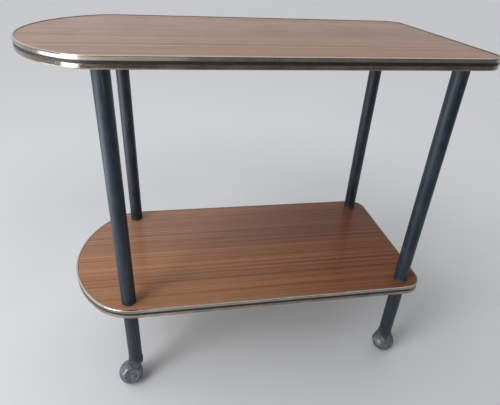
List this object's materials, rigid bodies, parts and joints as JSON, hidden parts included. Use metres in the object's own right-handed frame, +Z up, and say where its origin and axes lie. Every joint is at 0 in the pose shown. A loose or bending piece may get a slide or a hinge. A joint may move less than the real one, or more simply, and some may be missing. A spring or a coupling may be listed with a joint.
{
  "type": "bar cart on wheels",
  "caption": "Two-tier bar cart: walnut-laminate shelves bowed at one end, metal edge trim, black tube legs, swivelling ball casters.",
  "frame": {"origin": "on the floor, under the centre of the top shelf's outline", "axes": "+X towards the square end (the bowed end is at -X), +Y towards the back, +Z up"},
  "size_m": [0.6939, 0.348, 0.637],
  "materials": {
    "walnut_laminate": "walnut-grain laminate, semi-gloss, grain along the length",
    "backing_sheet": "plain brown backing laminate, matt",
    "board_core": "pressed chipboard",
    "edge_trim": "champagne anodised aluminium extrusion, satin with polished beads",
    "trim_strip": "black flexible vinyl strip",
    "black_tube": "satin blue-black enamel",
    "plain_steel": "zinc-plated steel",
    "caster_socket": "satin black enamel",
    "caster_hood": "worn gunmetal grey enamel, semi-gloss",
    "caster_wheel": "scuffed dark grey hard plastic",
    "bush_plastic": "natural nylon"
  },
  "bodies": {
    "cart": {"top_board": "board_core", "top_laminate": "walnut_laminate", "top_backing": "backing_sheet", "top_edge_trim": "edge_trim", "top_trim_strip": "trim_strip", "top_trim_nails": "plain_steel", "lower_board": "board_core", "lower_laminate": "walnut_laminate", "lower_backing": "backing_sheet", "lower_edge_trim": "edge_trim", "lower_trim_strip": "trim_strip", "lower_trim_nails": "plain_steel", "leg_plate_front_left": "black_tube", "upper_leg_front_left": "black_tube", "lower_leg_front_left": "black_tube", "caster_socket_front_left": "caster_socket", "leg_plate_front_right": "black_tube", "upper_leg_front_right": "black_tube", "lower_leg_front_right": "black_tube", "caster_socket_front_right": "caster_socket", "leg_plate_back_left": "black_tube", "upper_leg_back_left": "black_tube", "lower_leg_back_left": "black_tube", "caster_socket_back_left": "caster_socket", "leg_plate_back_right": "black_tube", "upper_leg_back_right": "black_tube", "lower_leg_back_right": "black_tube", "caster_socket_back_right": "caster_socket", "leg_plate_screws": "plain_steel", "leg_plugs": "plain_steel", "joining_studs": "plain_steel"},
    "swivel_front_left": {"caster_hood_front_left": "caster_hood", "caster_stem_front_left": "plain_steel", "caster_stem_ring_front_left": "plain_steel", "caster_axle_front_left": "plain_steel", "caster_axle_clip_front_left": "plain_steel"},
    "rolling_front_left": {"caster_wheel_front_left": "caster_wheel", "caster_wheel_bush_front_left": "bush_plastic"},
    "swivel_front_right": {"caster_hood_front_right": "caster_hood", "caster_stem_front_right": "plain_steel", "caster_stem_ring_front_right": "plain_steel", "caster_axle_front_right": "plain_steel", "caster_axle_clip_front_right": "plain_steel"},
    "rolling_front_right": {"caster_wheel_front_right": "caster_wheel", "caster_wheel_bush_front_right": "bush_plastic"},
    "swivel_back_left": {"caster_hood_back_left": "caster_hood", "caster_stem_back_left": "plain_steel", "caster_stem_ring_back_left": "plain_steel", "caster_axle_back_left": "plain_steel", "caster_axle_clip_back_left": "plain_steel"},
    "rolling_back_left": {"caster_wheel_back_left": "caster_wheel", "caster_wheel_bush_back_left": "bush_plastic"},
    "swivel_back_right": {"caster_hood_back_right": "caster_hood", "caster_stem_back_right": "plain_steel", "caster_stem_ring_back_right": "plain_steel", "caster_axle_back_right": "plain_steel", "caster_axle_clip_back_right": "plain_steel"},
    "rolling_back_right": {"caster_wheel_back_right": "caster_wheel", "caster_wheel_bush_back_right": "bush_plastic"}
  },
  "joints": [
    {"name": "swivel_front_left", "type": "hinge", "parent": "cart", "child": "swivel_front_left", "pos_m": [-0.215, -0.134, 0.065], "axis": [0, 0, 1], "continuous": true},
    {"name": "wheel_spin_front_left", "type": "hinge", "parent": "swivel_front_left", "child": "rolling_front_left", "pos_m": [-0.22682, -0.13608, 0.0225], "axis": [0.1533, -0.8695, 0.4695], "continuous": true},
    {"name": "swivel_front_right", "type": "hinge", "parent": "cart", "child": "swivel_front_right", "pos_m": [0.302, -0.134, 0.065], "axis": [0, 0, 1], "continuous": true},
    {"name": "wheel_spin_front_right", "type": "hinge", "parent": "swivel_front_right", "child": "rolling_front_right", "pos_m": [0.31003, -0.12508, 0.0225], "axis": [-0.6562, 0.5908, 0.4695], "continuous": true},
    {"name": "swivel_back_left", "type": "hinge", "parent": "cart", "child": "swivel_back_left", "pos_m": [-0.215, 0.134, 0.065], "axis": [0, 0, 1], "continuous": true},
    {"name": "wheel_spin_back_left", "type": "hinge", "parent": "swivel_back_left", "child": "rolling_back_left", "pos_m": [-0.22613, 0.1385, 0.0225], "axis": [-0.3308, -0.8187, 0.4695], "continuous": true},
    {"name": "swivel_back_right", "type": "hinge", "parent": "cart", "child": "swivel_back_right", "pos_m": [0.302, 0.134, 0.065], "axis": [0, 0, 1], "continuous": true},
    {"name": "wheel_spin_back_right", "type": "hinge", "parent": "swivel_back_right", "child": "rolling_back_right", "pos_m": [0.30531, 0.14553, 0.0225], "axis": [-0.8487, 0.2434, 0.4695], "continuous": true}
  ]
}
